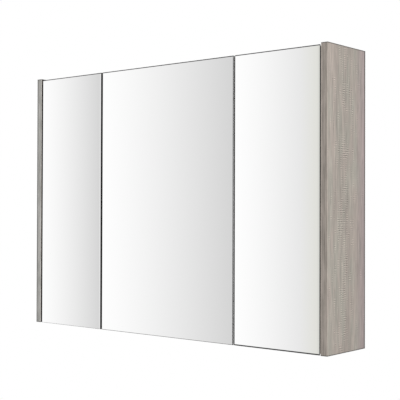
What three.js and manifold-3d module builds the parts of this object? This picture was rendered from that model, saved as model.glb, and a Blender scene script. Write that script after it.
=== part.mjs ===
// Three-door mirror cabinet for a bathroom wall.
// Millimetres, +Z up, fronts towards -Y, the wall is the plane y = 0.
// The origin is the middle of the hanging rail's rear face, where the wall carries the cabinet.
import * as THREE from 'three';
import { mergeVertices } from 'three/addons/utils/BufferGeometryUtils.js';
import Module from 'manifold-3d';

const wasm = await Module();
wasm.setup();

// ---- carcass -------------------------------------------------------------
const cabinetWidth = 900;
const cabinetHeight = 640;
const cabinetDepth = 151; // a 150 mm board and its edge strip
const panelThickness = 16;
const edgingThickness = 1; // ABS strip on the front edge of a side panel
const backThickness = 3;
const backGrooveDepth = 6;
const railThickness = 16;
const hangingRailHeight = 80;
const lowerRailHeight = 60;
const fingerSpace = 16.5; // from the doors' lower edge up to the bottom panel
const partGap = 0.3; // clearance round a piece that sits in a cut
const overcut = 1; // how far a cutting shape runs past the face it cuts

// ---- doors ---------------------------------------------------------------
const sideDoorWidth = 220;
const doorGap = 4;
const doorRecess = 2; // mirror face behind the side panels' front edges
const topReveal = 3; // side panels above the doors
const bottomReveal = 0; // the doors end flush with the side panels
const glassThickness = 4;
const glassArris = 0.8;
const boardThickness = 16;
const doorClearance = 3; // from the doors' backs to the carcass

// ---- pivot hinges --------------------------------------------------------
const pivotFromEdge = 8;
const pivotFromFace = 7.5;
const pinDiameter = 3;
const pinReach = 8; // pin inside the shoe
const pinHeadDiameter = 4.6;
const pinHeadHeight = 0.6;
const tongueWidth = 5;
const tongueThickness = 2.5;
const tongueCover = 0.7; // tongue to the end of the mirror
const collarHeight = 0.8;
const collarDiameter = 6.2;
const bracketLength = 36;
const bracketWidth = 20;
const bracketSetback = 3; // from the carcass front edge
const bracketLegWidth = 12;
const shoeLength = 24;
const shoeWidth = 11;
const shoeHeight = 14;
const shoeFromEdge = 3;
const shoeLugThickness = 4;
const shoeScrewFromEnd = 6;
const notchLength = 29;
const bearingPlay = 0.2;

// ---- fittings ------------------------------------------------------------
const screwHeadDiameter = 7;
const screwHeadHeight = 2;
const screwShankDiameter = 3.5;
const bumperDiameter = 9;
const bumperThickness = 2.7;
const bumperFromEdge = 24;
const strikeLength = 34;
const strikeHeight = 12;
const strikeThickness = 1.2;
const catchLength = 46;
const catchHeight = 13;
const catchDepth = 14;
const catchEarLength = 9;
const catchEarThickness = 4;
const catchInset = 12; // from the door's free edge
const poleProud = 1.1;
const poleGap = 0.3; // to the closed door's strike plate
const poleThickness = 2;
const poleSpacing = 7;
const poleLength = 20;
const hangerWidth = 30;
const hangerHeight = 60;
const hangerThickness = 2;
const hangerFromEnd = 60;
const hangerRecess = 0.2;
const keyholeDiameter = 11;
const keyholeSlotWidth = 5.4;
const keyholeRise = 14;
const keyholePocketDepth = 10;
const keyholePocketMargin = 1.5;
const hangerScrewFromEnd = 7;

// ---- glass shelves -------------------------------------------------------
const shelvesPerBay = 2;
const shelfThickness = 5;
const shelfSideGap = 1;
const shelfFrontSetback = 5;
const shelfRearSetback = 5;
const shelfArris = 0.6;
const ledgeThickness = 1.5;
const ledgeWidth = 12;
const ledgeHeight = 16;
const ledgeEndGap = 1; // from the lip to the shelf's front edge
const ledgeLip = 3;
const pegDiameter = 5;
const pegDepth = 6;
const pegDrop = 9; // below the shelf
const pegFromEnd = 16;
const pegHolePitch = 32;
const pegHolesPerShelf = 3;

// ---- derived levels and faces ---------------------------------------------
const halfWidth = cabinetWidth / 2;
const insideX = halfWidth - panelThickness;
const frontY = -cabinetDepth;
const mirrorFrontY = frontY + doorRecess;
const boardFrontY = mirrorFrontY + glassThickness;
const doorBackY = boardFrontY + boardThickness;
const carcassFrontY = doorBackY + doorClearance;
const pivotY = mirrorFrontY + pivotFromFace;
const doorTopZ = cabinetHeight - topReveal;
const doorBottomZ = bottomReveal;
const notchDepth = tongueCover + tongueThickness + collarHeight;
const topPanelTopZ = doorTopZ - notchDepth + collarHeight;
const topPanelLowZ = topPanelTopZ - panelThickness;
const bottomPanelLowZ = doorBottomZ + fingerSpace;
const bottomPanelTopZ = bottomPanelLowZ + panelThickness;
const railFrontY = -railThickness;
const backFrontY = railFrontY - backThickness;
const hangingRailLowZ = topPanelLowZ - hangingRailHeight;
const originZ = topPanelLowZ - hangingRailHeight / 2;
const seamX = halfWidth - panelThickness - doorGap - sideDoorWidth - doorGap / 2;
const dividerInnerX = seamX - panelThickness / 2;
const dividerOuterX = seamX + panelThickness / 2;
const middleDoorWidth = 2 * seamX - doorGap;

// ---- materials -------------------------------------------------------------
function finish(colour, roughness, metalness = 0) {
  return new THREE.MeshStandardMaterial({ color: colour, roughness, metalness });
}
const larchGrey = () => finish(0xa9a198, 0.6);
const edgingGrey = () => finish(0x928a83, 0.55);
const insideGrey = () => finish(0xb4ada4, 0.6);
const backGrey = () => finish(0xc9c6c1, 0.7);
const mirrorSilver = () => finish(0xf2f4f4, 0.03, 1);
const clearGlass = () => finish(0xcfe3dc, 0.05);
const zincSteel = () => finish(0xb9bcc0, 0.35, 0.9);
const nylonWhite = () => finish(0xe9e8e3, 0.5);
const brushedAluminium = () => finish(0xc3c6c8, 0.35, 0.95);
const siliconeClear = () => finish(0xdfe3e4, 0.4);

// ---- solids ----------------------------------------------------------------
function toSolid(geometry) {
  const bare = geometry.clone();
  bare.deleteAttribute('normal');
  bare.deleteAttribute('uv');
  const merged = mergeVertices(bare, 1e-4);
  return new wasm.Manifold(new wasm.Mesh({
    numProp: 3,
    vertProperties: new Float32Array(merged.attributes.position.array),
    triVerts: new Uint32Array(merged.index.array),
  }));
}

function toGeometry(solid) {
  const mesh = solid.getMesh();
  const geometry = new THREE.BufferGeometry();
  geometry.setAttribute('position', new THREE.BufferAttribute(new Float32Array(mesh.vertProperties), 3));
  geometry.setIndex(new THREE.BufferAttribute(new Uint32Array(mesh.triVerts), 1));
  geometry.computeVertexNormals();
  return geometry;
}

// A box between two limits on each axis, given in any order.
function block([xa, xb], [ya, yb], [za, zb]) {
  const geometry = new THREE.BoxGeometry(Math.abs(xb - xa), Math.abs(yb - ya), Math.abs(zb - za));
  geometry.translate((xa + xb) / 2, (ya + yb) / 2, (za + zb) / 2);
  return geometry;
}

// A round bar from one point, running a signed length along an axis.
function bar(axis, radius, [x, y, z], length, segments = 12) {
  const geometry = new THREE.CylinderGeometry(radius, radius, Math.abs(length), segments);
  const half = length / 2;
  if (axis === 'x') {
    geometry.rotateZ(Math.PI / 2);
    geometry.translate(x + half, y, z);
  } else if (axis === 'y') {
    geometry.translate(x, y + half, z);
  } else {
    geometry.rotateX(Math.PI / 2);
    geometry.translate(x, y, z + half);
  }
  return geometry;
}

function cut(geometry, tools) {
  let solid = toSolid(geometry);
  for (const tool of tools) {
    solid = solid.subtract(toSolid(tool));
  }
  return toGeometry(solid);
}

function join(geometries) {
  let solid = toSolid(geometries[0]);
  for (const other of geometries.slice(1)) {
    solid = solid.add(toSolid(other));
  }
  return toGeometry(solid);
}

// A flat sheet in the XY plane, from z = 0 up, with its edges ground to an arris on both faces.
function groundSheet([xa, xb], [ya, yb], thickness, arris) {
  const left = Math.min(xa, xb) + arris;
  const right = Math.max(xa, xb) - arris;
  const shape = new THREE.Shape();
  shape.moveTo(left, ya + arris);
  shape.lineTo(right, ya + arris);
  shape.lineTo(right, yb - arris);
  shape.lineTo(left, yb - arris);
  shape.closePath();
  const geometry = new THREE.ExtrudeGeometry(shape, {
    depth: thickness - 2 * arris,
    bevelEnabled: true,
    bevelThickness: arris,
    bevelSize: arris,
    bevelSegments: 1,
  });
  geometry.translate(0, 0, arris);
  return geometry;
}

// ---- the cabinet's group ---------------------------------------------------
const root = new THREE.Group();
const cabinet = new THREE.Group();
cabinet.position.z = -originZ;
root.add(cabinet);

function addPiece(name, geometry, material) {
  const mesh = new THREE.Mesh(geometry, material);
  mesh.name = name;
  cabinet.add(mesh);
}

// ---- countersunk screw holes --------------------------------------------------
const up = new THREE.Vector3(0, 0, 1);
const down = new THREE.Vector3(0, 0, -1);
const forward = new THREE.Vector3(0, -1, 0);

// A hole for a countersunk head that is flush at the point, running along the direction.
function screwHole(point, direction, depth) {
  const shank = screwShankDiameter / 2;
  const profile = [
    [0, -overcut],
    [screwHeadDiameter / 2, -overcut],
    [screwHeadDiameter / 2, 0],
    [shank, screwHeadHeight],
    [shank, Math.max(depth, screwHeadHeight) + overcut],
    [0, Math.max(depth, screwHeadHeight) + overcut],
  ];
  const geometry = new THREE.LatheGeometry(profile.map(([r, h]) => new THREE.Vector2(r, h)), 12);
  geometry.applyQuaternion(new THREE.Quaternion().setFromUnitVectors(new THREE.Vector3(0, 1, 0), direction));
  geometry.translate(...point);
  return geometry;
}

const boardCuts = []; // every hole and pocket in the carcass boards

// ---- glass shelves on ledges that plug into the walls' peg holes -------------------
const bays = [
  { name: 'left', x: [-insideX, -dividerOuterX] },
  { name: 'middle', x: [-dividerInnerX, dividerInnerX] },
  { name: 'right', x: [dividerOuterX, insideX] },
];
const shelfFrontY = carcassFrontY + shelfFrontSetback;
const shelfRearY = backFrontY - shelfRearSetback;
const pegRows = [shelfFrontY + pegFromEnd, shelfRearY - pegFromEnd];
const bayHeight = topPanelLowZ - bottomPanelTopZ;

// An angle rail with two pegs in the wall, and a lip in front of the glass.
function shelfLedge(wallX, inward, shelfZ) {
  const lipY = shelfFrontY - ledgeEndGap;
  const tipX = wallX + inward * ledgeWidth;
  const ledge = [
    block([wallX, wallX + inward * ledgeThickness], [lipY, shelfRearY], [shelfZ - ledgeHeight, shelfZ]),
    block([wallX, tipX], [lipY, shelfRearY], [shelfZ - ledgeThickness, shelfZ]),
    block([wallX, tipX], [lipY - ledgeThickness, lipY], [shelfZ - ledgeThickness, shelfZ + ledgeLip]),
  ];
  for (const y of pegRows) {
    ledge.push(bar('x', pegDiameter / 2, [wallX + inward * ledgeThickness / 2, y, shelfZ - pegDrop],
      -inward * (pegDepth + ledgeThickness / 2)));
  }
  return join(ledge);
}

for (const bay of bays) {
  for (let level = 1; level <= shelvesPerBay; level += 1) {
    const shelfZ = bottomPanelTopZ + bayHeight * level / (shelvesPerBay + 1);
    const shelf = groundSheet([bay.x[0] + shelfSideGap, bay.x[1] - shelfSideGap], [shelfFrontY, shelfRearY],
      shelfThickness, shelfArris);
    shelf.translate(0, 0, shelfZ);
    addPiece(`glass_shelf_${bay.name}_${level}`, shelf, clearGlass());
    for (const [end, wallX, inward] of [['a', bay.x[0], 1], ['b', bay.x[1], -1]]) {
      addPiece(`shelf_ledge_${bay.name}_${level}${end}`, shelfLedge(wallX, inward, shelfZ), brushedAluminium());
      for (const y of pegRows) {
        for (let hole = 0; hole < pegHolesPerShelf; hole += 1) {
          const rise = (hole - (pegHolesPerShelf - 1) / 2) * pegHolePitch;
          boardCuts.push(bar('x', pegDiameter / 2 + partGap,
            [wallX + inward * overcut, y, shelfZ - pegDrop + rise],
            -inward * (pegDepth + partGap + overcut)));
        }
      }
    }
  }
}

// ---- keyhole hanger plates let into the rear of the hanging rail --------------------
const hangerRearY = -hangerRecess;
const hangerFrontY = hangerRearY - hangerThickness;
const hangerLowZ = originZ - hangerHeight / 2;
const keyholeZ = originZ - keyholeRise / 2;

function keyholeOutline(centreX) {
  const path = new THREE.Path();
  const neck = Math.asin(keyholeSlotWidth / keyholeDiameter);
  path.absarc(centreX, keyholeZ, keyholeDiameter / 2, Math.PI / 2 + neck, Math.PI / 2 - neck + 2 * Math.PI, false);
  path.absarc(centreX, keyholeZ + keyholeRise, keyholeSlotWidth / 2, 0, Math.PI, false);
  path.closePath();
  return path;
}

for (const [name, side] of [['left', -1], ['right', 1]]) {
  const centreX = side * (insideX - hangerFromEnd);
  const left = centreX - hangerWidth / 2;
  const right = centreX + hangerWidth / 2;
  const outline = new THREE.Shape();
  outline.moveTo(left, hangerLowZ);
  outline.lineTo(right, hangerLowZ);
  outline.lineTo(right, hangerLowZ + hangerHeight);
  outline.lineTo(left, hangerLowZ + hangerHeight);
  outline.closePath();
  outline.holes.push(keyholeOutline(centreX));
  const plate = new THREE.ExtrudeGeometry(outline, {
    depth: hangerThickness, bevelEnabled: false, curveSegments: 10,
  });
  plate.rotateX(Math.PI / 2);
  plate.translate(0, hangerRearY, 0);
  const holes = [hangerScrewFromEnd, hangerHeight - hangerScrewFromEnd].map(
    (rise) => screwHole([centreX, hangerRearY, hangerLowZ + rise], forward, hangerThickness));
  addPiece(`hanger_plate_${name}`, cut(plate, holes), zincSteel());
  boardCuts.push(block([left - partGap, right + partGap], [hangerFrontY, overcut],
    [hangerLowZ - partGap, hangerLowZ + hangerHeight + partGap]));
  const pocketHalf = keyholeDiameter / 2 + keyholePocketMargin;
  boardCuts.push(block([centreX - pocketHalf, centreX + pocketHalf], [-keyholePocketDepth, overcut],
    [keyholeZ - pocketHalf, keyholeZ + keyholeRise + pocketHalf]));
}

// ---- doors, their pivot hinges and their catches ---------------------------------------
const tongueTopZ = topPanelTopZ + tongueThickness;
const tongueBottomZ = doorBottomZ + tongueCover;
const bracketFrontY = carcassFrontY + bracketSetback;
const bracketRearY = bracketFrontY + bracketLength;
const bracketScrewY = [bracketFrontY + bracketLength * 0.25, bracketFrontY + bracketLength * 0.75];
const strikeRearY = doorBackY + strikeThickness;
const poleFrontY = strikeRearY + poleGap;
const catchFrontY = poleFrontY + poleProud;
const catchCentreZ = topPanelLowZ - catchHeight / 2;

function tongue(pivotX, lowZ, rearY) {
  return [
    block([pivotX - tongueWidth / 2, pivotX + tongueWidth / 2], [pivotY, rearY], [lowZ, lowZ + tongueThickness]),
    bar('z', tongueWidth / 2, [pivotX, pivotY, lowZ], tongueThickness, 16),
  ];
}

// A pin riveted through the tongue: its head on the outer face, its tip in the door's shoe.
function pivotPin(pivotX, outerZ, inward) {
  return [
    bar('z', pinHeadDiameter / 2, [pivotX, pivotY, outerZ + inward * tongueThickness / 2],
      -inward * (tongueThickness / 2 + pinHeadHeight)),
    bar('z', pinDiameter / 2, [pivotX, pivotY, outerZ], inward * (tongueThickness + collarHeight + pinReach)),
  ];
}

// The collar on the pin that the shoe turns against.
function collar(pivotX, faceZ, inward) {
  return bar('z', collarDiameter / 2, [pivotX, pivotY, faceZ - inward * tongueThickness / 2],
    inward * (tongueThickness / 2 + collarHeight - bearingPlay), 16);
}

function addHinge(name, pivotX) {
  const bracketX = [pivotX - bracketWidth / 2, pivotX + bracketWidth / 2];
  const plate = block(bracketX, [bracketFrontY, bracketRearY], [topPanelTopZ, tongueTopZ]);
  addPiece(`hinge_bracket_top_${name}`, cut(
    join([plate, ...tongue(pivotX, topPanelTopZ, bracketFrontY + overcut),
      ...pivotPin(pivotX, tongueTopZ, -1), collar(pivotX, topPanelTopZ, -1)]),
    bracketScrewY.map((y) => screwHole([pivotX, y, tongueTopZ], down, tongueThickness)),
  ), zincSteel());

  const footZ = bottomPanelLowZ - tongueThickness;
  const foot = block(bracketX, [bracketFrontY, bracketRearY], [footZ, bottomPanelLowZ]);
  const leg = block([pivotX - bracketLegWidth / 2, pivotX + bracketLegWidth / 2],
    [bracketFrontY, bracketFrontY + tongueThickness], [tongueBottomZ, bottomPanelLowZ]);
  addPiece(`hinge_bracket_bottom_${name}`, cut(
    join([foot, leg, ...tongue(pivotX, tongueBottomZ, bracketFrontY + tongueThickness),
      ...pivotPin(pivotX, tongueBottomZ, 1), collar(pivotX, tongueBottomZ + tongueThickness, 1)]),
    bracketScrewY.map((y) => screwHole([pivotX, y, footZ], up, tongueThickness)),
  ), zincSteel());
}

// The shoe in a door's corner: a deep block round the pin and a thin lug for its screw.
// inward is the way from the notch's face into the board.
function shoeBlocks(at, faceZ, inward, slack) {
  const limitsY = [boardFrontY + partGap - slack, boardFrontY + partGap + shoeWidth + slack];
  const splitU = 2 * pivotFromEdge - shoeFromEdge;
  return [
    block([at(shoeFromEdge - slack), at(splitU + slack)], limitsY,
      [faceZ, faceZ + inward * (shoeHeight + slack)]),
    block([at(shoeFromEdge - slack), at(shoeFromEdge + shoeLength + slack)], limitsY,
      [faceZ, faceZ + inward * (shoeLugThickness + slack)]),
  ];
}

function addDoor({ name, edgeX, side, width }) {
  const at = (u) => edgeX + side * u;
  const pivotX = at(pivotFromEdge);
  const limitsX = [at(0), at(width)];

  const mirror = groundSheet(limitsX, [doorBottomZ, doorTopZ], glassThickness, glassArris);
  mirror.rotateX(Math.PI / 2);
  mirror.translate(0, boardFrontY, 0);
  addPiece(`mirror_${name}`, mirror, mirrorSilver());

  const boardTools = [];
  for (const [place, endZ, inward] of [['top', doorTopZ, -1], ['bottom', doorBottomZ, 1]]) {
    const faceZ = endZ + inward * notchDepth;
    const lugHole = screwHole(
      [at(shoeFromEdge + shoeLength - shoeScrewFromEnd), boardFrontY + partGap + shoeWidth / 2, faceZ],
      inward > 0 ? up : down,
      shoeLugThickness,
    );
    const bore = bar('z', pinDiameter / 2 + partGap, [pivotX, pivotY, faceZ - inward * overcut],
      inward * (pinReach + overcut + partGap));
    addPiece(`hinge_shoe_${place}_${name}`, cut(join(shoeBlocks(at, faceZ, inward, 0)), [bore, lugHole]),
      nylonWhite());
    boardTools.push(block([at(-overcut), at(notchLength)], [boardFrontY - overcut, doorBackY + overcut],
      [endZ - inward * overcut, faceZ]));
    boardTools.push(...shoeBlocks(at, faceZ, inward, partGap));
  }

  const catchX = at(width) - side * (catchInset + catchLength / 2);
  const strike = block([catchX - strikeLength / 2, catchX + strikeLength / 2], [doorBackY, strikeRearY],
    [catchCentreZ - strikeHeight / 2, catchCentreZ + strikeHeight / 2]);
  addPiece(`strike_plate_${name}`,
    cut(strike, [screwHole([catchX, strikeRearY, catchCentreZ], forward, strikeThickness)]), zincSteel());
  addPiece(`door_board_${name}`, cut(block(limitsX, [boardFrontY, doorBackY], [doorBottomZ, doorTopZ]), boardTools),
    insideGrey());
  addPiece(`door_bumper_${name}`, bar('y', bumperDiameter / 2,
    [at(width - bumperFromEdge), carcassFrontY, bottomPanelLowZ + panelThickness / 2],
    -bumperThickness, 20), siliconeClear());
  addHinge(name, pivotX);
  addCatch(name, catchX);
}

// A magnetic catch under the top panel: a body with two ears, and the magnet's two poles in front.
function addCatch(name, catchX) {
  const limitsY = [catchFrontY, catchFrontY + catchDepth];
  const half = catchLength / 2;
  const body = block([catchX - half + catchEarLength, catchX + half - catchEarLength], limitsY,
    [topPanelLowZ - catchHeight, topPanelLowZ]);
  const ears = block([catchX - half, catchX + half], limitsY, [topPanelLowZ - catchEarThickness, topPanelLowZ]);
  const poles = [-1, 1].map((sign) => {
    const poleZ = catchCentreZ + sign * poleSpacing / 2;
    return block([catchX - poleLength / 2, catchX + poleLength / 2], [poleFrontY, catchFrontY + poleProud],
      [poleZ - poleThickness / 2, poleZ + poleThickness / 2]);
  });
  const holes = [-1, 1].map((sign) => screwHole(
    [catchX + sign * (half - catchEarLength / 2), catchFrontY + catchDepth / 2, topPanelLowZ - catchEarThickness],
    up,
    catchEarThickness,
  ));
  addPiece(`magnetic_catch_${name}`, cut(join([body, ears, ...poles]), holes), nylonWhite());
}

const doorEdgeX = insideX - doorGap;
addDoor({ name: 'left', edgeX: -doorEdgeX, side: 1, width: sideDoorWidth });
addDoor({ name: 'middle', edgeX: -middleDoorWidth / 2, side: 1, width: middleDoorWidth });
addDoor({ name: 'right', edgeX: doorEdgeX, side: -1, width: sideDoorWidth });

// ---- carcass boards ------------------------------------------------------------------
const grooveTool = block(
  [-insideX - backGrooveDepth - partGap, insideX + backGrooveDepth + partGap],
  [backFrontY - partGap, railFrontY + partGap],
  [bottomPanelTopZ - backGrooveDepth - partGap, topPanelLowZ + backGrooveDepth + partGap],
);

// Cuts a board by the bores that reach it.
function bored(board, extra = []) {
  board.computeBoundingBox();
  const near = boardCuts.filter((tool) => {
    tool.computeBoundingBox();
    return tool.boundingBox.intersectsBox(board.boundingBox);
  });
  return cut(board, [...near, ...extra]);
}

for (const [name, side] of [['left', -1], ['right', 1]]) {
  const limitsX = [side * insideX, side * halfWidth];
  addPiece(`side_panel_${name}`,
    bored(block(limitsX, [frontY + edgingThickness, 0], [0, cabinetHeight]), [grooveTool]), larchGrey());
  addPiece(`side_edging_${name}`,
    block(limitsX, [frontY, frontY + edgingThickness], [0, cabinetHeight]), edgingGrey());
  addPiece(`divider_${name}`,
    bored(block([side * dividerInnerX, side * dividerOuterX], [carcassFrontY, backFrontY],
      [bottomPanelTopZ, topPanelLowZ])), larchGrey());
}
const spanX = [-insideX, insideX];
addPiece('top_panel',
  bored(block(spanX, [carcassFrontY, 0], [topPanelLowZ, topPanelTopZ]), [grooveTool]), larchGrey());
addPiece('bottom_panel',
  bored(block(spanX, [carcassFrontY, 0], [bottomPanelLowZ, bottomPanelTopZ]), [grooveTool]), larchGrey());
addPiece('back_panel', block(
  [-insideX - backGrooveDepth, insideX + backGrooveDepth],
  [backFrontY, railFrontY],
  [bottomPanelTopZ - backGrooveDepth, topPanelLowZ + backGrooveDepth],
), backGrey());
addPiece('hanging_rail',
  bored(block(spanX, [railFrontY, 0], [hangingRailLowZ, topPanelLowZ])), larchGrey());
addPiece('lower_rail',
  bored(block(spanX, [railFrontY, 0], [bottomPanelTopZ, bottomPanelTopZ + lowerRailHeight])), larchGrey());

export default root;
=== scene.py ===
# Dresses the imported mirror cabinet: finishes for every board, mirror and fitting, and the small
# pieces that the solids leave out. Metres, fronts towards -Y, the wall at y = 0.
import math
import bpy
import bmesh
from mathutils import Matrix, Vector


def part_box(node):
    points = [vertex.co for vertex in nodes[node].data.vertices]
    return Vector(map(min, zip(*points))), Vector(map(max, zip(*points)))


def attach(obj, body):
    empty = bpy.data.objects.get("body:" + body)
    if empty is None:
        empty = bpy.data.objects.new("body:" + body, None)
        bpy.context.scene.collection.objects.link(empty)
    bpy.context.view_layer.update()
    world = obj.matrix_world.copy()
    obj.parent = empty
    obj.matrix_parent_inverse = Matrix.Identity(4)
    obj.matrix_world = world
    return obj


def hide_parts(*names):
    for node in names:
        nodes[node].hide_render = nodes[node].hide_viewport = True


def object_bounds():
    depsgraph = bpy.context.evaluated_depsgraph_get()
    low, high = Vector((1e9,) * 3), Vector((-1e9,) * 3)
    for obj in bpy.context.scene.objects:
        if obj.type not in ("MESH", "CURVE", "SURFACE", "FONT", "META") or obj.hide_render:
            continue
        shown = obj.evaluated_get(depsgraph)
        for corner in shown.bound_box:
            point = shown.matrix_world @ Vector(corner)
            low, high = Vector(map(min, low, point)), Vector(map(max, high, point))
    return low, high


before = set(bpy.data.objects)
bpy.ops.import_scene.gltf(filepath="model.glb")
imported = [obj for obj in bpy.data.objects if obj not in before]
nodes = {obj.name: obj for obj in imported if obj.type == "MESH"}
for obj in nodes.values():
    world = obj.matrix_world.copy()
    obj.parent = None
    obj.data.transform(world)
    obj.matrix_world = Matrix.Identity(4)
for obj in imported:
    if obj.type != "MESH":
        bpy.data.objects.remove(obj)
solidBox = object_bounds()
mm = 0.001
touch = 1e-6  # closer than this counts as the same place
noiseSpan = (0.3, 0.7)  # where the values of a noise pattern mostly lie
doorNames = ("left", "middle", "right")
print("frame loaded:", len(nodes), "solids")


# shader wiring

class Wire:  # one output socket, so that shader maths reads as sums
    def __init__(self, finish, socket):
        self.finish = finish
        self.socket = socket

    def calc(self, operation, first, second=0.0):
        return self.finish.node("ShaderNodeMath", {"operation": operation}, {0: first, 1: second})

    def __add__(self, other):
        return self.calc("ADD", self, other)

    def __sub__(self, other):
        return self.calc("SUBTRACT", self, other)

    def __mul__(self, other):
        return self.calc("MULTIPLY", self, other)

    def __rsub__(self, other):
        return self.calc("SUBTRACT", other, self)

    __radd__ = __add__
    __rmul__ = __mul__

    def power(self, exponent):
        return self.calc("POWER", self, exponent)

    def sine(self):
        return self.calc("SINE", self)

    def size(self):
        return self.calc("ABSOLUTE", self)

    def least(self, other):
        return self.calc("MINIMUM", self, other)

    def most(self, other):
        return self.calc("MAXIMUM", self, other)


class Finish:  # one material under construction
    def __init__(self, name, **constants):
        self.material = bpy.data.materials.new(name)
        self.material.use_nodes = True
        self.tree = self.material.node_tree
        self.tree.nodes.clear()
        self.output = self.tree.nodes.new("ShaderNodeOutputMaterial")
        self.shader = self.tree.nodes.new("ShaderNodeBsdfPrincipled")
        self.tree.links.new(self.shader.outputs[0], self.output.inputs["Surface"])
        self.place = self.node("ShaderNodeTexCoord", output="Object")
        self.feed(**constants)

    def node(self, kind, settings=None, sockets=None, output=0):
        made = self.tree.nodes.new(kind)
        for key, value in (settings or {}).items():
            setattr(made, key, value)
        for key, value in (sockets or {}).items():
            self.plug(made.inputs[key], value)
        return Wire(self, made.outputs[output])

    def plug(self, socket, value):
        if isinstance(value, Wire):
            self.tree.links.new(value.socket, socket)
        elif socket.type == "RGBA" and len(value) == 3:
            socket.default_value = (*value, 1.0)
        else:
            socket.default_value = value

    def feed(self, **sockets):  # baseColor -> "Base Color"
        names = {socket.name.lower(): socket for socket in self.shader.inputs}
        for key, value in sockets.items():
            label = "".join(" " + letter if letter.isupper() else letter for letter in key)
            self.plug(names[label.lower()], value)

    # patterns

    def axes(self):
        split = self.tree.nodes.new("ShaderNodeSeparateXYZ")
        self.tree.links.new(self.place.socket, split.inputs[0])
        return [Wire(self, out) for out in split.outputs]

    def stretched(self, size, shift=(0, 0, 0)):  # the object's own coordinates, one unit for each size
        sizes = size if isinstance(size, tuple) else (size,) * 3
        return self.node("ShaderNodeMapping", {"vector_type": "POINT"},
                         {"Vector": self.place, "Location": shift,
                          "Scale": tuple(1 / length for length in sizes)})

    def noise(self, size, detail=3, shift=(0, 0, 0), roughness=0.5, distortion=0.0):
        return self.node("ShaderNodeTexNoise", {"noise_dimensions": "3D"},
                         {"Vector": self.stretched(size, shift), "Scale": 1.0, "Detail": detail,
                          "Roughness": roughness, "Distortion": distortion})

    def ease(self, value, low, high, toLow=0.0, toHigh=1.0):  # smooth step between two limits
        return self.node("ShaderNodeMapRange", {"interpolation_type": "SMOOTHSTEP"},
                         {0: value, 1: low, 2: high, 3: toLow, 4: toHigh})

    def fade(self, value, low, high):  # 1 below the limits, 0 above them
        return self.ease(value, low, high, 1.0, 0.0)

    def rim(self, depth, width, softness, inside=1.0, outside=0.0):  # a line of this width along an edge
        return self.ease(depth, width * (1 - softness), width * (1 + softness), inside, outside)

    def line(self, value, low, high, toLow=0.0, toHigh=1.0):  # straight ramp between two limits
        return self.node("ShaderNodeMapRange", {"interpolation_type": "LINEAR"},
                         {0: value, 1: low, 2: high, 3: toLow, 4: toHigh})

    def spread(self, noise, toLow, toHigh):  # a noise stretched to these levels
        return self.line(noise, *noiseSpan, toLow, toHigh)

    def sway(self, noise, reach):  # a noise stretched to both sides of 0
        return self.spread(noise, -reach, reach)

    def mix(self, share, first, second):
        return self.node("ShaderNodeMix", {"data_type": "RGBA"}, {0: share, 6: first, 7: second}, 2)

    def grey(self, level):
        return self.node("ShaderNodeCombineColor", None, {0: level, 1: level, 2: level})

    def tint(self, colour, factor):  # colour times a number, brighter or darker
        factors = self.node("ShaderNodeCombineXYZ", None, {0: factor, 1: factor, 2: factor})
        return self.node("ShaderNodeVectorMath", {"operation": "MULTIPLY"}, {0: colour, 1: factors})

    def bump(self, height, relief, strength):
        self.feed(normal=self.node("ShaderNodeBump", None,
                                   {"Strength": strength, "Distance": relief, "Height": height}))


def linear(red, green, blue):  # screen colour, 0 to 255, to shader colour
    def one(value):
        value /= 255
        return value / 12.92 if value <= 0.04045 else ((value + 0.055) / 1.055) ** 2.4
    return (one(red), one(green), one(blue))


def dress(node, finish):
    mesh = nodes[node].data
    mesh.materials.clear()
    mesh.materials.append(finish.material)


# camera

cameraStand = dict(heading=39.964, tilt=0.582, roll=0.17, lens=84.42, sensor=36, reach=60,
                   right=1.4746, ahead=1.625, drop=0.0225)


def setCamera(stand):
    low, high = solidBox
    middle = (low + high) / 2
    turn, tilt, roll = (math.radians(stand[angle]) for angle in ("heading", "tilt", "roll"))
    ahead = Vector((-math.sin(turn) * math.cos(tilt), math.cos(turn) * math.cos(tilt), math.sin(tilt)))
    side = ahead.cross(Vector((0, 0, 1))).normalized()
    above = side.cross(ahead)
    sideRolled = side * math.cos(roll) + above * math.sin(roll)
    aboveRolled = above * math.cos(roll) - side * math.sin(roll)
    data = bpy.data.cameras.new("viewCamera")
    data.lens = stand["lens"]
    data.sensor_width = stand["sensor"]
    data.clip_end = stand["reach"]
    camera = bpy.data.objects.new("viewCamera", data)
    bpy.context.scene.collection.objects.link(camera)
    facing = Matrix((sideRolled, aboveRolled, -ahead)).transposed().to_4x4()
    place = Vector((stand["right"], low.y - stand["ahead"], middle.z - stand["drop"]))
    camera.matrix_world = Matrix.Translation(place) @ facing
    bpy.context.scene.camera = camera


setCamera(cameraStand)
print("camera set")


# studio

studio = dict(worldLevel=0.74, floorBelow=1.25, floorSize=40.0, floorTone=0.86, toneSway=0.01,
              floorGrain=1 / 30, floorRoughness=0.9, shadowRadius=(3.0, 4.4))


def seenDirectly(finish):  # 1 for camera, mirror and glass rays, 0 for the light that falls on things
    path = finish.tree.nodes.new("ShaderNodeLightPath")
    camera, glossy, through = (Wire(finish, path.outputs[name]) for name in
                               ("Is Camera Ray", "Is Glossy Ray", "Is Transmission Ray"))
    return camera.most(glossy).most(through)


def setWorld():
    world = bpy.data.worlds.new("studioWorld")
    bpy.context.scene.world = world
    world.use_nodes = True
    world.node_tree.nodes.clear()
    finish = Finish.__new__(Finish)  # only the wiring, round the world's own tree
    finish.tree = world.node_tree
    out = finish.tree.nodes.new("ShaderNodeOutputWorld")
    light = finish.tree.nodes.new("ShaderNodeBackground")
    light.inputs["Color"].default_value = (1, 1, 1, 1)
    finish.plug(light.inputs["Strength"], finish.line(seenDirectly(finish), 0, 1, studio["worldLevel"], 1.0))
    finish.tree.links.new(light.outputs[0], out.inputs["Surface"])


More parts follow.
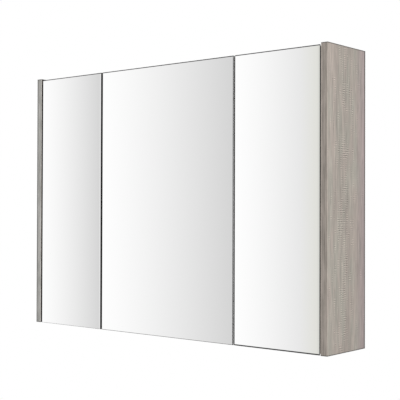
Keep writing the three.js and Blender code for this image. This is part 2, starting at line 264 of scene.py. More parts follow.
def addFloor():  # pale, and white to the eye beyond the cabinet's shadow
    low, high = solidBox
    mesh = bpy.data.meshes.new("floor")
    bm = bmesh.new()
    bmesh.ops.create_grid(bm, x_segments=1, y_segments=1, size=studio["floorSize"] / 2,
                          matrix=Matrix.Translation((0, 0, low.z - studio["floorBelow"])))
    bm.to_mesh(mesh)
    bm.free()
    floor = bpy.data.objects.new("floor", mesh)
    bpy.context.scene.collection.objects.link(floor)
    paint = Finish("floorPaint", roughness=studio["floorRoughness"])
    tone = paint.spread(paint.noise(studio["floorGrain"], 4), studio["floorTone"] - studio["toneSway"],
                        studio["floorTone"] + studio["toneSway"])
    paint.feed(baseColor=paint.grey(tone))
    bright = paint.tree.nodes.new("ShaderNodeEmission")
    blend = paint.tree.nodes.new("ShaderNodeMixShader")
    reach = paint.node("ShaderNodeVectorMath", {"operation": "LENGTH"}, {0: paint.place}, output=1)
    far = paint.ease(reach, *studio["shadowRadius"])
    paint.plug(blend.inputs[0], far * seenDirectly(paint))
    paint.tree.links.new(paint.shader.outputs[0], blend.inputs[1])
    paint.tree.links.new(bright.outputs[0], blend.inputs[2])
    paint.tree.links.new(blend.outputs[0], paint.output.inputs["Surface"])
    mesh.materials.append(paint.material)


softBoxes = [  # square lamps aimed at the cabinet's middle: place, edge length, power in watts
    dict(name="softBoxSide", place=(2.3, -1.3, 1.0), size=1.6, power=16),
    dict(name="softBoxFront", place=(-0.8, -3.4, 1.9), size=2.6, power=16),
]


def addSoftBox(box):
    data = bpy.data.lights.new(box["name"], "AREA")
    data.shape = "SQUARE"
    data.size = box["size"]
    data.energy = box["power"]
    lamp = bpy.data.objects.new(box["name"], data)
    bpy.context.scene.collection.objects.link(lamp)
    lamp.visible_glossy = False  # the mirrors stay clear of the lamps' outlines
    lamp.visible_camera = False
    low, high = solidBox
    aim = (low + high) / 2 - Vector(box["place"])
    lamp.matrix_world = Matrix.Translation(box["place"]) @ aim.to_track_quat("-Z", "Y").to_matrix().to_4x4()


setWorld()
addFloor()
for box in softBoxes:
    addSoftBox(box)
bpy.context.scene.view_settings.view_transform = "Standard"
print("studio lit")


# larch decor on the boards

larchGrains = dict(  # width and length of the marks, then the noise's settings
    bands=(30 * mm, 520 * mm, dict(detail=3, roughness=0.55)),
    drift=(30 * mm, 120 * mm, dict(detail=2, shift=(3.1, 1.7, 4.3))),
    fine=(3.4 * mm, 62 * mm, dict(detail=4, roughness=0.62, distortion=0.3)),
    dashes=(2.4 * mm, 48 * mm, dict(detail=1, shift=(2.7, 6.3, 0.9))),
    pores=(0.6 * mm, 16 * mm, dict(detail=1, shift=(5.2, 0.4, 2.6))),
    waver=(9 * mm, 60 * mm, dict(detail=1, shift=(1.3, 7.9, 0.2))),
    teeth=(2.4 * mm, 6 * mm, dict(detail=3, shift=(0.7, 3.9, 5.5))),
    patches=(9 * mm, 26 * mm, dict(detail=1, shift=(8.4, 2.2, 6.1))),
)
larch = dict(
    tone=linear(172, 163, 154), cool=linear(166, 165, 153), warm=linear(173, 160, 151),
    toneShare=0.55, driftGate=(0.38, 0.62), bandDepth=0.11, fineDepth=0.23,
    paleDashes=(0.62, 0.72), darkDashes=(0.28, 0.38), dashDepth=0.20, poreGate=(0.60, 0.74), poreDepth=0.12,
    sawPitch=4.6 * mm, sawWaver=6, sawGate=(-0.1, 0.8), sawRest=0.45, toothGate=(0.36, 0.56),
    patchGate=(0.53, 0.70), sawDepth=dict(side=1.0, other=0.22),
    sawnMiddle=0.42, sawnReach=62 * mm, sawnGain=(0.075, -0.11),
    paintedRearShade=0.05, rose=linear(172, 154, 155), roseShare=0.7, roseWidth=(6 * mm, 45 * mm),
    rearLine=4.2 * mm, endLine=1.9 * mm, lineTone=0.30, lineSoftness=0.2, skin=(0.05 * mm, 0.15 * mm),
    lip=(1.3 * mm, 7 * mm), gapShadeEase=(0.2 * mm, 1 * mm), gapShadeTone=0.03,
    roughness=(0.50, 0.64), relief=0.14 * mm, reliefStrength=0.6,
)


def larchDecor(name, along, side=None):
    # grain runs along one axis; a side panel is also sawn along one band of its width, pinker at the rear,
    # with painted shade darkening it towards the rear, the edge band's line round its faces, and painted shade
    # of the door's gap on its inner face just behind its front edge
    finish = Finish(name)
    index = "xyz".index(along)
    x, y, z = finish.axes()
    run = (x, y, z)[index]

    def grain(kind):
        width, length, settings = larchGrains[kind]
        return finish.noise(tuple(length if i == index else width for i in range(3)), **settings)

    fine, dashes, patches = grain("fine"), grain("dashes"), grain("patches")
    dashes = finish.ease(dashes, *larch["paleDashes"]) - finish.fade(dashes, *larch["darkDashes"])
    pores = finish.ease(grain("pores"), *larch["poreGate"])
    phase = run * (math.tau / larch["sawPitch"]) + grain("waver") * larch["sawWaver"]
    saw = finish.ease(phase.sine(), *larch["sawGate"])
    teeth = finish.ease(grain("teeth"), *larch["toothGate"])
    if side:
        low, high = side
        middle = low.y + (high.y - low.y) * larch["sawnMiddle"]
        patches = patches + finish.line((y - middle).size(), 0.0, larch["sawnReach"], *larch["sawnGain"])
    marks = (larch["sawRest"] - saw) * teeth * finish.ease(patches, *larch["patchGate"])
    level = (1 + finish.sway(grain("bands"), larch["bandDepth"]) + finish.sway(fine, larch["fineDepth"])
             + dashes * larch["dashDepth"] + marks * larch["sawDepth"]["side" if side else "other"]
             - pores * larch["poreDepth"])
    drift = finish.ease(grain("drift"), *larch["driftGate"])
    colour = finish.mix(larch["toneShare"], finish.mix(drift, larch["cool"], larch["warm"]), larch["tone"])
    if side:
        rose = finish.ease(high.y - y, *larch["roseWidth"], larch["roseShare"], 0.0)
        colour = finish.mix(rose, colour, larch["rose"])
        onFace = finish.fade((x - low.x).size().least((x - high.x).size()), *larch["skin"])
        rear = finish.rim(high.y - y, larch["rearLine"], larch["lineSoftness"])
        ends = finish.rim((z - low.z).least(high.z - z), larch["endLine"], larch["lineSoftness"])
        # painted shade: the panel is lighter at its front edge and darker towards its rear edge
        level = level * finish.line(y, low.y, high.y, 1 + larch["paintedRearShade"], 1 - larch["paintedRearShade"])
        level = level * (1 - rear.most(ends) * onFace * (1 - larch["lineTone"]))
        # painted shade of the gap beside the doors: the inner face is darkened from 1.3 mm to 7 mm behind the
        # front edge
        inner = low.x if low.x > 0 else high.x
        start, stop = (low.y + depth for depth in larch["lip"])
        easeIn, easeOut = larch["gapShadeEase"]
        lip = (finish.fade((x - inner).size(), *larch["skin"])
               * finish.ease(y, start - easeIn, start) * finish.fade(y, stop - easeOut, stop))
        level = level * (1 - lip * (1 - larch["gapShadeTone"]))
    finish.feed(baseColor=finish.tint(colour, level), roughness=finish.spread(fine, *larch["roughness"]))
    finish.bump(fine * 0.5 + marks * 0.2 - pores * 0.5, larch["relief"], larch["reliefStrength"])
    return finish


for side in ("left", "right"):
    dress("side_panel_" + side, larchDecor("larchSide_" + side, "z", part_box("side_panel_" + side)))
uprightDecor = larchDecor("larchUpright", "z")
levelDecor = larchDecor("larchLevel", "x")
for node in ("divider_left", "divider_right"):
    dress(node, uprightDecor)
for node in ("top_panel", "bottom_panel", "hanging_rail", "lower_rail"):
    dress(node, levelDecor)
print("boards dressed")


# making small pieces

orderDigits = 7  # decimals of a metre that tell two places apart


def steadyOrder(bm):  # bevels and merges leave elements in an order that changes from run to run
    places = ((bm.verts, lambda vert: vert.co), (bm.faces, lambda face: face.calc_center_median()),
              (bm.edges, lambda edge: (edge.verts[0].co + edge.verts[1].co) / 2))
    for elements, place in places:
        ranked = sorted(elements, key=lambda element: tuple(round(c, orderDigits) for c in place(element)))
        elements.sort(key={element: rank for rank, element in enumerate(ranked)}.get)


def addPiece(name, bm, body, slot, *finishes, angle=38):
    steadyOrder(bm)
    bmesh.ops.recalc_face_normals(bm, faces=bm.faces)
    mesh = bpy.data.meshes.new(name)
    bm.to_mesh(mesh)
    bm.free()
    for finish in finishes:
        mesh.materials.append(finish.material)
    piece = bpy.data.objects.new(name, mesh)
    bpy.context.scene.collection.objects.link(piece)
    mesh.shade_smooth()
    mesh.set_sharp_from_angle(angle=math.radians(angle))
    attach(piece, body)
    return piece


def shape(name, bm):  # a mesh to stamp copies from
    mesh = bpy.data.meshes.new(name)
    bm.to_mesh(mesh)
    bm.free()
    return mesh


def stamp(bm, mesh, matrix):  # adds a copy of a mesh, placed by a matrix
    start = len(bm.verts)
    bm.from_mesh(mesh)
    bm.verts.ensure_lookup_table()
    bmesh.ops.transform(bm, verts=bm.verts[start:], matrix=matrix)


def block(bm, low, high, material=0):  # a box between two corners, its new vertices given back
    low, high = Vector(low), Vector(high)
    made = bmesh.ops.create_cube(bm, size=1.0, matrix=Matrix.Translation((low + high) / 2)
                                 @ Matrix.Diagonal((*(high - low), 1)))
    for face in {face for vert in made["verts"] for face in vert.link_faces}:
        face.material_index = material
    return made["verts"]


def roundEdges(bm, radius, segments, wanted):
    bmesh.ops.bevel(bm, geom=[edge for edge in bm.edges if wanted(edge)], offset=radius, offset_type="OFFSET",
                    affect="EDGES", segments=segments, profile=0.5, material=-1)


def turned(bm, profile, segments):  # an upright turned shape from (radius, height) pairs
    points = [bm.verts.new((radius, 0, height)) for radius, height in profile]
    edges = [bm.edges.new(pair) for pair in zip(points, points[1:])]
    bmesh.ops.spin(bm, geom=points + edges, cent=(0, 0, 0), axis=(0, 0, 1), angle=math.tau,
                   steps=segments, use_merge=True)
    bmesh.ops.remove_doubles(bm, verts=bm.verts, dist=1e-7)
    steadyOrder(bm)


# front edge strips of the side panels

strip = dict(
    round=0.8 * mm, roundSteps=4, shortest=0.1, endLine=1.9 * mm, lineTone=0.34, lineSoftness=0.2,
    # each strip's tone is partly the decor's own and partly painted light: the left strip paler and greener as
    # lit, the right darker and browner as shaded
    decorAndLightTones=dict(left=linear(169, 167, 163), right=linear(147, 138, 130)),
    shades=dict(left=linear(118, 128, 112), right=linear(128, 124, 112)), shadeShare=0.15,
    corner=dict(left=(4.2 * mm, 0.2), right=(0.8 * mm, 1.85)),
    inner=dict(left=(1.3 * mm, 1.5), right=(1.8 * mm, 1.85)), cornerFlat=0.6,
    streak=(2.6 * mm, 2.6 * mm, 120 * mm), streakDepth=0.38,
    cloud=(7 * mm, 7 * mm, 34 * mm), cloudDepth=0.13, cloudGate=(0.4, 0.6),
    roughness=(0.36, 0.5), relief=0.06 * mm, reliefStrength=0.5,
)


def stripDecor(side, low, high):  # streaked, with dark ends, painted highlights along its long edges and a painted dark line along the left strip's outer edge
    finish = Finish("stripDecor_" + side)
    x, y, z = finish.axes()
    streak = finish.noise(strip["streak"], 4, roughness=0.6)
    cloud = finish.noise(strip["cloud"], 3, (4, 2, 1))
    level = 1 + finish.sway(streak, strip["streakDepth"]) + finish.sway(cloud, strip["cloudDepth"])
    ends = finish.rim((z - low.z).least(high.z - z), strip["endLine"], strip["lineSoftness"],
                      strip["lineTone"], 1.0)
    outer = x - low.x if side == "left" else high.x - x
    # painted highlights where the rounded edges would catch the light, and a painted dark line on the left
    # strip's outer edge
    paintedEdgeLight = 1
    for edge, depth in (("corner", outer), ("inner", high.x - low.x - outer)):
        width, tint = strip[edge][side]
        paintedEdgeLight = finish.ease(depth, width * strip["cornerFlat"], width, tint, 1.0) * paintedEdgeLight
    tone = strip["decorAndLightTones"][side]
    shaded = finish.mix(strip["shadeShare"], tone, strip["shades"][side])
    colour = finish.mix(finish.ease(cloud, *strip["cloudGate"]), shaded, tone)
    finish.feed(baseColor=finish.tint(colour, level * ends * paintedEdgeLight),
                roughness=finish.spread(streak, *strip["roughness"]))
    finish.bump(streak, strip["relief"], strip["reliefStrength"])
    return finish


for side in ("left", "right"):
    low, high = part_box("side_edging_" + side)
    bm = bmesh.new()
    block(bm, low, high)
    roundEdges(bm, strip["round"], strip["roundSteps"],
               lambda e: all(v.co.y < low.y + touch for v in e.verts) and e.calc_length() > strip["shortest"])
    piece = addPiece("edge_strip_" + side, bm, "cabinet", "edge_strip", stripDecor(side, low, high))
    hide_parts("side_edging_" + side)
print("edge strips fitted")


# mirrors

mirror = dict(
    near=dict(left=253, middle=254, right=254), far=dict(left=212, middle=212, right=223), reflectionFadeShape=1.3,
    paintedRightRim=dict(left=(6.0 * mm, 1.38), middle=(4.0 * mm, 1.0), right=(6.0 * mm, 0.86)),
    warmth=dict(left=1.0, middle=1.0, right=0.945), warmReach=(8 * mm, 48 * mm),
    topLine=2.2 * mm, footLine=dict(left=0.8 * mm, middle=1.1 * mm, right=2.9 * mm),
    rightLine=dict(left=1.1 * mm, middle=1.4 * mm, right=0.2 * mm),
    leftLine=dict(left=0.9 * mm, middle=1.8 * mm, right=1.2 * mm), lineSoftness=0.1, lineTone=0.013,
    arris=1.0 * mm, edgeToneAndGlint=dict(left=0.01, middle=0.9, right=0.2), skin=(0.05 * mm, 0.1 * mm),
    haze=1 / 9, roughness=(0.004, 0.012), edgeRoughness=0.4,
)


def mirrorGlass(name):
    # silvered sheet whose colour is a painted reflection that fades to the right, with dark lines at its edges,
    # where the silvering ends and, widened, as painted shade of the gaps between the doors
    low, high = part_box("mirror_" + name)
    finish = Finish("mirrorGlass_" + name)
    x, y, z = finish.axes()
    fromRight = high.x - x
    # painted reflection: the sheet's colour is pale at its left edge and falls off to the right, anew on each
    # door
    near, far = (linear(*[mirror[end][name]] * 3)[0] for end in ("near", "far"))
    level = near - finish.line(x, low.x, high.x).power(mirror["reflectionFadeShape"]) * (near - far)
    # painted highlight along the left mirror's right edge, painted shade along the right mirror's right edge
    rimWidth, rimLight = mirror["paintedRightRim"][name]
    level = level * finish.line(fromRight, 0.0, rimWidth, rimLight, 1.0)
    # the painted reflection is warmer near the right mirror's right edge
    warm = finish.line(fromRight, *mirror["warmReach"], mirror["warmth"][name], 1.0)
    paintedReflection = finish.node("ShaderNodeCombineColor", None, {0: level, 1: level, 2: level * warm})
    dark = finish.ease(y, low.y + mirror["arris"] * 0.9, low.y + mirror["arris"])  # the edges behind the arris
    # dark lines round the edges where the silvering ends, with the side lines widened as painted shade of the
    # gaps between the doors
    for depth, width in ((high.z - z, mirror["topLine"]), (z - low.z, mirror["footLine"][name]),
                         (fromRight, mirror["rightLine"][name]), (x - low.x, mirror["leftLine"][name])):
        dark = dark.most(finish.rim(depth, width, mirror["lineSoftness"]))
    # the right edge face: the glass edge's own dark tone, with a painted highlight on the middle mirror
    atRight = finish.fade(fromRight, *mirror["skin"])
    darkTone = finish.grey(finish.line(atRight, 0, 1, mirror["lineTone"], mirror["edgeToneAndGlint"][name]))
    haze = finish.spread(finish.noise(mirror["haze"]), *mirror["roughness"])
    finish.feed(baseColor=finish.mix(dark, paintedReflection, darkTone), metallic=1 - dark,
                roughness=haze.most(dark * mirror["edgeRoughness"]))
    return finish


for name in doorNames:
    dress("mirror_" + name, mirrorGlass(name))
print("mirrors silvered")


# metal, plastic and glass

zincLook = dict(
    cool=linear(186, 190, 197), warm=linear(202, 200, 190), cloud=9 * mm, cloudGate=(0.35, 0.65),
    ground=0.93, spangle=2.2 * mm, spangleDepth=0.08, rolled=(0.5 * mm, 12 * mm, 0.5 * mm), rolledDepth=0.03,
    roughnessSpan=(0.5, 0.9), roughness=(0.24, 0.42), relief=0.03 * mm, reliefStrength=0.5,
)


def zincSteel():  # bright zinc, passivated: faint blue and straw clouds, rolled streaks, small spangles
    finish = Finish("zincSteel", metallic=1.0)
    cloud = finish.noise(zincLook["cloud"], 4)
    spangle = finish.node("ShaderNodeTexVoronoi", {"feature": "F1"},
                          {"Vector": finish.stretched(zincLook["spangle"]), "Scale": 1.0}, "Color")
    rolled = finish.noise(zincLook["rolled"])
    colour = finish.mix(finish.ease(cloud, *zincLook["cloudGate"]), zincLook["cool"], zincLook["warm"])
    grey = finish.node("ShaderNodeRGBToBW", None, {0: spangle})
    level = (zincLook["ground"] + grey * zincLook["spangleDepth"]
             + finish.sway(rolled, zincLook["rolledDepth"]))
    finish.feed(baseColor=finish.tint(colour, level),
                roughness=finish.line(cloud + rolled * 0.4, *zincLook["roughnessSpan"], *zincLook["roughness"]))
    finish.bump(rolled * 0.6 + cloud * 0.4, zincLook["relief"], zincLook["reliefStrength"])
    return finish


aluminiumLook = dict(
    tone=linear(206, 208, 210), brush=(0.25 * mm, 30 * mm, 0.25 * mm), cloud=20 * mm,
    levelSpan=(0.5, 1.0), level=(0.90, 1.04), roughness=(0.26, 0.42), relief=0.03 * mm, reliefStrength=0.6,
)


def brushedAluminium():  # anodised, brushed along its length
    finish = Finish("brushedAluminium", metallic=1.0)
    brush = finish.noise(aluminiumLook["brush"], 4)
    cloud = finish.noise(aluminiumLook["cloud"])
    level = finish.line(brush + cloud * 0.5, *aluminiumLook["levelSpan"], *aluminiumLook["level"])
    finish.feed(baseColor=finish.tint(aluminiumLook["tone"], level),
                roughness=finish.spread(brush, *aluminiumLook["roughness"]))
    finish.bump(brush, aluminiumLook["relief"], aluminiumLook["reliefStrength"])
    return finish


nylonLook = dict(tone=linear(231, 230, 224), cloud=7 * mm, level=(0.95, 1.03), ior=1.53,
                 spark=0.35 * mm, roughness=(0.38, 0.55), relief=0.04 * mm, reliefStrength=0.5)


def whiteNylon():  # moulded, faintly mottled, fine spark-eroded surface
    finish = Finish("whiteNylon", ior=nylonLook["ior"])
    cloud = finish.noise(nylonLook["cloud"])
    spark = finish.noise(nylonLook["spark"], 2, (2, 5, 1))
    finish.feed(baseColor=finish.tint(nylonLook["tone"], finish.spread(cloud, *nylonLook["level"])),
                roughness=finish.spread(spark, *nylonLook["roughness"]))
    finish.bump(spark, nylonLook["relief"], nylonLook["reliefStrength"])
    return finish


ferriteLook = dict(tone=(0.035, 0.036, 0.038), grit=0.5 * mm, level=(0.7, 1.5), roughness=(0.5, 0.75),
                   relief=0.05 * mm, reliefStrength=0.7)


def blackFerrite():
    finish = Finish("blackFerrite")
    grit = finish.noise(ferriteLook["grit"], 4)
    finish.feed(baseColor=finish.tint(ferriteLook["tone"], finish.spread(grit, *ferriteLook["level"])),
                roughness=finish.spread(grit, *ferriteLook["roughness"]))
    finish.bump(grit, ferriteLook["relief"], ferriteLook["reliefStrength"])
    return finish


siliconeLook = dict(tone=linear(232, 236, 238), cloud=3 * mm, level=(0.96, 1.02), roughness=(0.18, 0.3),
                    clearness=0.55, ior=1.42)


def softSilicone():
    finish = Finish("softSilicone", transmissionWeight=siliconeLook["clearness"], ior=siliconeLook["ior"])
    cloud = finish.noise(siliconeLook["cloud"])
    finish.feed(baseColor=finish.tint(siliconeLook["tone"], finish.spread(cloud, *siliconeLook["level"])),
                roughness=finish.spread(cloud, *siliconeLook["roughness"]))
    return finish


glassLook = dict(face=(0.93, 0.975, 0.955), edge=(0.30, 0.56, 0.47), edgeReach=(0.5 * mm, 0.9 * mm),
                 faceAlpha=0.22, smear=60 * mm, smearSpan=(0.4, 0.8), roughness=(0.004, 0.02),
                 edgeRoughness=0.22, ior=1.5)


def clearGlass(name, low, high):
    # float glass: clear through its faces, which let the light on to what lies under them, green at its edges
    finish = Finish(name, transmissionWeight=1.0, ior=glassLook["ior"])
    x, y, z = finish.axes()
    depth = (x - low.x).least(high.x - x).least((y - low.y).least(high.y - y))
    edge = finish.fade(depth, *glassLook["edgeReach"])
    smear = finish.line(finish.noise(glassLook["smear"], 4), *glassLook["smearSpan"], *glassLook["roughness"])
    finish.feed(baseColor=finish.mix(edge, glassLook["face"], glassLook["edge"]),
                roughness=(edge * glassLook["edgeRoughness"]).most(smear),
                alpha=finish.line(edge, 0.0, 1.0, glassLook["faceAlpha"], 1.0))
    return finish


melamineLook = dict(
    face=linear(190, 185, 177), warm=linear(187, 179, 170), band=linear(106, 102, 97),
    pearl=0.45 * mm, pearlDepth=0.04, cloud=(1 / 9, 1 / 9, 1 / 4), cloudDepth=0.06, cloudGate=(0.4, 0.6),
    warp=(1.6 * mm, 1.6 * mm, 60 * mm), warpDepth=0.09, weft=(45 * mm, 45 * mm, 1.6 * mm), weftDepth=0.05,
    threadRoughness=0.65, skin=(0.05 * mm, 0.2 * mm), joint=1.0 * mm, jointWidth=(0.10 * mm, 0.22 * mm),
    jointDepth=0.35, bandReach=(0.9 * mm, 1.0 * mm), bandStreaks=0.9,
    roughnessSpan=(0.5, 1.0), roughness=(0.42, 0.58), relief=0.06 * mm, reliefStrength=0.5,
)


def melamine(name, low, high):  # door boards: pearl grain and faint linen, the edge band's joint round the back
    look = melamineLook
    finish = Finish(name)
    x, y, z = finish.axes()
    pearl = finish.noise(look["pearl"], 2)
    cloud = finish.noise(look["cloud"], 4, roughness=0.6)
    warp = finish.noise(look["warp"], 4, roughness=look["threadRoughness"])
    weft = finish.noise(look["weft"], 4, (3, 1, 2), look["threadRoughness"])
    depth = (x - low.x).least(high.x - x).least((z - low.z).least(high.z - z))
    onBack = finish.fade(high.y - y, *look["skin"])
    joint = finish.fade((depth - look["joint"]).size(), *look["jointWidth"]) * onBack
    band = finish.fade(depth, *look["bandReach"]) * (1 - onBack)  # the edges themselves
    level = (1 + finish.sway(cloud, look["cloudDepth"]) + finish.sway(pearl, look["pearlDepth"])
             + finish.sway(warp, look["warpDepth"]) + finish.sway(weft, look["weftDepth"]) * (1 - band)
             + (warp - 0.5) * band * look["bandStreaks"] - joint * look["jointDepth"])
    face = finish.mix(finish.ease(cloud, *look["cloudGate"]), look["face"], look["warm"])
    finish.feed(baseColor=finish.tint(finish.mix(band, face, look["band"]), level),
                roughness=finish.line(pearl + warp * 0.5, *look["roughnessSpan"], *look["roughness"]))
    finish.bump(pearl * 0.5 + warp * 0.5 + weft * 0.4, look["relief"], look["reliefStrength"])
    return finish


hardboardLook = dict(
    lacquer=linear(206, 203, 197), dark=linear(116, 90, 66), pale=linear(163, 136, 107), rawSpan=(0.43, 0.93),
    rearEase=0.2 * mm, fibre=1.6 * mm, fibreDepth=0.04, clump=11 * mm, clumpDepth=0.02, clumpShare=0.35,
    cloud=120 * mm, cloudDepth=0.07, fleck=3.2 * mm, fleckGate=(0.66, 0.74), fleckDepth=0.35,
    chip=2.6 * mm, chipGate=(0.27, 0.34), chipDepth=0.30, screenPitch=1.6 * mm, weaveDepth=0.2,
    roughnessSpan=(0.0, 1.2), roughness=(0.42, 0.85), relief=0.1 * mm, reliefStrength=0.6,
)


def hardboard(low, high):  # lacquered grey in front, raw brown with the screen's print behind
    look = hardboardLook
    finish = Finish("hardboard")
    x, y, z = finish.axes()
    middle = (low.y + high.y) / 2
    rear = finish.ease(y, middle, middle + look["rearEase"])
    fibre = finish.noise(look["fibre"], 5)
    clump = finish.noise(look["clump"], 5, (1, 7, 3))
    cloud = finish.noise(look["cloud"], 4)
    fleck = finish.ease(finish.noise(look["fleck"], 2, (5, 3, 8)), *look["fleckGate"])
    chip = finish.fade(finish.noise(look["chip"], 2, (2, 9, 4)), *look["chipGate"])
    across, upright = ((run * (math.tau / look["screenPitch"])).sine() for run in (x, z))
    weave = (across * upright).size() * rear
    paleness = finish.line(fibre + clump * look["clumpShare"], *look["rawSpan"])
    raw = finish.mix(paleness, look["dark"], look["pale"])
    colour = finish.mix(rear, look["lacquer"], raw)
    level = (1 + finish.sway(cloud, look["cloudDepth"]) + finish.sway(fibre, look["fibreDepth"])
             - weave * look["weaveDepth"] + rear * (chip * look["chipDepth"] - fleck * look["fleckDepth"])
             + finish.sway(clump, look["clumpDepth"]))
    finish.feed(baseColor=finish.tint(colour, level),
                roughness=finish.line(rear + fibre * 0.2, *look["roughnessSpan"], *look["roughness"]))
    finish.bump(fibre * 0.4 + weave * 0.8, look["relief"], look["reliefStrength"])
    return finish


zinc, aluminium, nylon = zincSteel(), brushedAluminium(), whiteNylon()
ferrite, silicone = blackFerrite(), softSilicone()
for node in nodes:
    if node.startswith("hinge_shoe"):
        dress(node, nylon)
    elif node.startswith(("hinge_bracket", "hanger_plate", "strike_plate")):
        dress(node, zinc)
    elif node.startswith("shelf_ledge"):
        dress(node, aluminium)
    elif node.startswith("door_board"):
        dress(node, melamine("melamine_" + node, *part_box(node)))
    elif node.startswith("glass_shelf"):
        dress(node, clearGlass("clear_" + node, *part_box(node)))
dress("back_panel", hardboard(*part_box("back_panel")))
print("fittings dressed")


# magnetic catches: a rounded body on two ears, the magnet between its two pole plates

catch = dict(
    depth=14 * mm, round=0.8 * mm, roundSteps=3, earLength=9 * mm, earThickness=4 * mm, earShy=1 * mm,
    earOverlap=1 * mm, earRound=3.5 * mm, earSteps=6, poleLength=20 * mm, poleThickness=2 * mm,
    poleSpacing=7 * mm, poleRoot=2 * mm, magnetShy=0.35 * mm, magnetInset=0.5 * mm,
)


def addCatch(name):
    low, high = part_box("magnetic_catch_" + name)
    middle = (low + high) / 2
    front = high.y - catch["depth"]
    bm = bmesh.new()
    block(bm, (low.x + catch["earLength"], front, low.z), (high.x - catch["earLength"], high.y, high.z))
    roundEdges(bm, catch["round"], catch["roundSteps"],
               lambda e: any(v.co.z < high.z - touch for v in e.verts))
    ear = catch["earLength"] + catch["earOverlap"]
    for left, right, outer in ((low.x, low.x + ear, low.x), (high.x - ear, high.x, high.x)):
        verts = block(bm, (left, front + catch["earShy"], high.z - catch["earThickness"]),
                      (right, high.y - catch["earShy"], high.z))
        roundEdges(bm, catch["earRound"], catch["earSteps"],
                   lambda e: all(v in verts and abs(v.co.x - outer) < touch for v in e.verts)
                   and abs(e.verts[0].co.z - e.verts[1].co.z) > catch["earThickness"] / 2)
    half, root = catch["poleLength"] / 2, front + catch["poleRoot"]
    for sign in (-1, 1):
        poleZ = middle.z + sign * catch["poleSpacing"] / 2
        block(bm, (middle.x - half, low.y, poleZ - catch["poleThickness"] / 2),
              (middle.x + half, root, poleZ + catch["poleThickness"] / 2), 1)
    gap = catch["poleSpacing"] / 2 - catch["poleThickness"] / 2
    half -= catch["magnetInset"]
    block(bm, (middle.x - half, low.y + catch["magnetShy"], middle.z - gap),
          (middle.x + half, root, middle.z + gap), 2)
    piece = addPiece("catch_" + name, bm, "cabinet", "white_nylon", nylon, zinc, ferrite)
    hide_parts("magnetic_catch_" + name)


# clear bumpers: domed, with a thin foot

bumper = dict(foot=0.22, rises=(0, 15, 30, 45, 60, 75, 85), sides=40)


def addBumper(name):
    low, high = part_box("door_bumper_" + name)
    middle = (low + high) / 2
    radius, tall = (high.x - low.x) / 2, high.y - low.y
    bm = bmesh.new()
    dome = [(radius * math.cos(rise), tall * (bumper["foot"] + (1 - bumper["foot"]) * math.sin(rise)))
            for rise in map(math.radians, bumper["rises"])]
    turned(bm, [(0, 0), (radius, 0), *dome, (0, tall)], bumper["sides"])
    bmesh.ops.transform(bm, verts=bm.verts, matrix=Matrix.Translation((middle.x, high.y, middle.z))
                        @ Matrix.Rotation(math.radians(90), 4, "X"))
    piece = addPiece("bumper_" + name, bm, "cabinet", "silicone", silicone, angle=60)
    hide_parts("door_bumper_" + name)


for name in doorNames:
    addCatch(name)
    addBumper(name)
print("catches and bumpers made")


# countersunk screws

screw = dict(head=6.7 * mm, rim=0.18 * mm, cone=2.0 * mm, shank=3.0 * mm, length=11 * mm, tip=0.75, sides=28,
             sunk=0.05 * mm, wing=1.1 * mm, wingReach=2.2 * mm, recess=1.5 * mm, narrowing=0.55)


def screwMesh():  # flat head with a cross recess, driven along -Z, its face at z = 0
    bm = bmesh.new()
    head, shank, length = screw["head"] / 2, screw["shank"] / 2, screw["length"]
    turned(bm, [(head, 0), (head, -screw["rim"]), (shank, -screw["cone"]), (shank, -length * screw["tip"]),
                (0, -length)], screw["sides"])
    half, reach = screw["wing"] / 2, screw["wingReach"]
    corners = [(c * x - t * y, t * x + c * y) for c, t in ((1, 0), (0, 1), (-1, 0), (0, -1))
               for x, y in ((reach, -half), (reach, half), (half, half))]
    brim = [bm.verts.new((x, y, 0)) for x, y in corners]
    outline = [bm.edges.new((brim[i - 1], brim[i])) for i in range(len(brim))]
    walls = bmesh.ops.extrude_edge_only(bm, edges=outline)["geom"]
    sole = [v for v in walls if isinstance(v, bmesh.types.BMVert)]
    bmesh.ops.scale(bm, verts=sole, vec=(screw["narrowing"], screw["narrowing"], 1))
    bmesh.ops.translate(bm, verts=sole, vec=(0, 0, -screw["recess"]))
    bmesh.ops.contextual_create(bm, geom=[e for e in walls if isinstance(e, bmesh.types.BMEdge)])
    face = [e for e in bm.edges if e.is_boundary]
    bmesh.ops.triangle_fill(bm, edges=face, use_beauty=True, use_dissolve=False)
    bmesh.ops.recalc_face_normals(bm, faces=bm.faces)
    return shape("screwShape", bm)


screwShape = screwMesh()


def addScrews(name, body, places):  # places are (point, direction driven, turn of the recess)
    bm = bmesh.new()
    for point, direction, turn in places:
        way = (-Vector(direction)).to_track_quat("Z", "Y").to_matrix().to_4x4()
        spot = Matrix.Translation(Vector(point) + Vector(direction) * screw["sunk"])
        stamp(bm, screwShape, spot @ way @ Matrix.Rotation(math.radians(turn), 4, "Z"))
    addPiece(name, bm, body, "zinc_steel", zinc, angle=30)


# where the screws' faces lie in their plates, and where the holes are
seats = dict(bracketHoles=(9 * mm, 27 * mm), topBracket=0.6 * mm, bottomBracket=2.5 * mm, shoeHole=18 * mm,
             catchHole=(18.5 * mm, 7 * mm), catchProud=0.25 * mm, hangerHole=7 * mm)
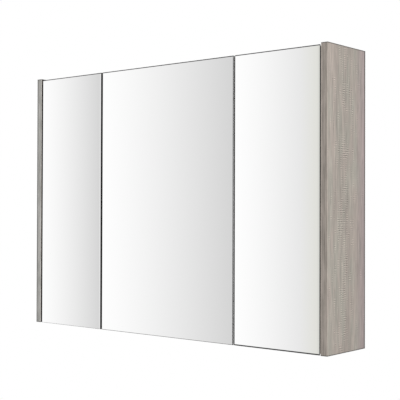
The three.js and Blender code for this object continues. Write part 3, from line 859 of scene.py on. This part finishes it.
# degrees the recesses are turned by, so that no two stand alike: start, step per door, step per metre
turns = dict(topBracket=(20, 31, 9000), bottomBracket=(50, 17, 7000), shoe=(35, 40), strike=(12, 25),
             catch=(40, 22), hanger=(15, 62))
up, down, forward = (0, 0, 1), (0, 0, -1), (0, -1, 0)
for number, name in enumerate(doorNames):
    for end, way in (("top", down), ("bottom", up)):
        low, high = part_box(f"hinge_bracket_{end}_{name}")
        start, perDoor, perMetre = turns[end + "Bracket"]
        addScrews(f"screws_bracket_{end}_{name}", "cabinet",
                  [(((low.x + high.x) / 2, high.y - at, high.z - seats[end + "Bracket"]), way,
                    start + number * perDoor + at * perMetre) for at in seats["bracketHoles"]])
    places = []
    for end, way in (("top", down), ("bottom", up)):
        low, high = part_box(f"hinge_shoe_{end}_{name}")
        hole = high.x - seats["shoeHole"] if name == "right" else low.x + seats["shoeHole"]
        places.append(((hole, (low.y + high.y) / 2, high.z if end == "top" else low.z), way,
                       turns["shoe"][0] + number * turns["shoe"][1]))
    low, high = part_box("strike_plate_" + name)
    places.append((((low.x + high.x) / 2, high.y, (low.z + high.z) / 2), forward,
                   turns["strike"][0] + number * turns["strike"][1]))
    addScrews("screws_door_" + name, "door_" + name, places)
    low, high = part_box("magnetic_catch_" + name)
    fromMiddle, fromRear = seats["catchHole"]
    addScrews("screws_catch_" + name, "cabinet",
              [(((low.x + high.x) / 2 + sign * fromMiddle, high.y - fromRear,
                 high.z - catch["earThickness"] - seats["catchProud"]), up,
                turns["catch"][0] + sign * turns["catch"][1]) for sign in (-1, 1)])
for side in ("left", "right"):
    low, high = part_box("hanger_plate_" + side)
    heights = (low.z + seats["hangerHole"], high.z - seats["hangerHole"])
    addScrews("screws_hanger_" + side, "cabinet",
              [(((low.x + high.x) / 2, high.y, z), forward, turn)
               for z, turn in zip(heights, turns["hanger"])])
print("screws driven")


# caps over the cam fittings that draw the panels together

cap = dict(radius=8.5 * mm, height=0.9 * mm, sides=32, fromWall=34 * mm, rows=(15 * mm, 95 * mm),
           profile=((0, 0), (1, 0), (1, 0.4), (0.92, 0.8), (0.6, 1), (0, 1)),  # shares of radius and height
           tone=linear(168, 161, 152), cloud=5 * mm, level=(0.95, 1.05), roughness=(0.4, 0.52))


def capPlastic():
    finish = Finish("capPlastic")
    cloud = finish.noise(cap["cloud"])
    finish.feed(baseColor=finish.tint(cap["tone"], finish.spread(cloud, *cap["level"])),
                roughness=finish.spread(cloud, *cap["roughness"]))
    return finish


def addCaps(panel, faceUp):
    low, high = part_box(panel)
    bm = bmesh.new()
    flip = Matrix.Identity(4) if faceUp else Matrix.Rotation(math.pi, 4, "X")
    for x in (low.x + cap["fromWall"], high.x - cap["fromWall"]):
        for row in cap["rows"]:
            stamp(bm, capShape, Matrix.Translation((x, low.y + row, high.z if faceUp else low.z)) @ flip)
    addPiece("cam_caps_" + panel, bm, "cabinet", "inside_decor", capFinish)


turning = bmesh.new()
turned(turning, [(r * cap["radius"], h * cap["height"]) for r, h in cap["profile"]], cap["sides"])
capShape = shape("capShape", turning)
capFinish = capPlastic()
addCaps("top_panel", True)
addCaps("bottom_panel", False)
print("cam caps pressed in")
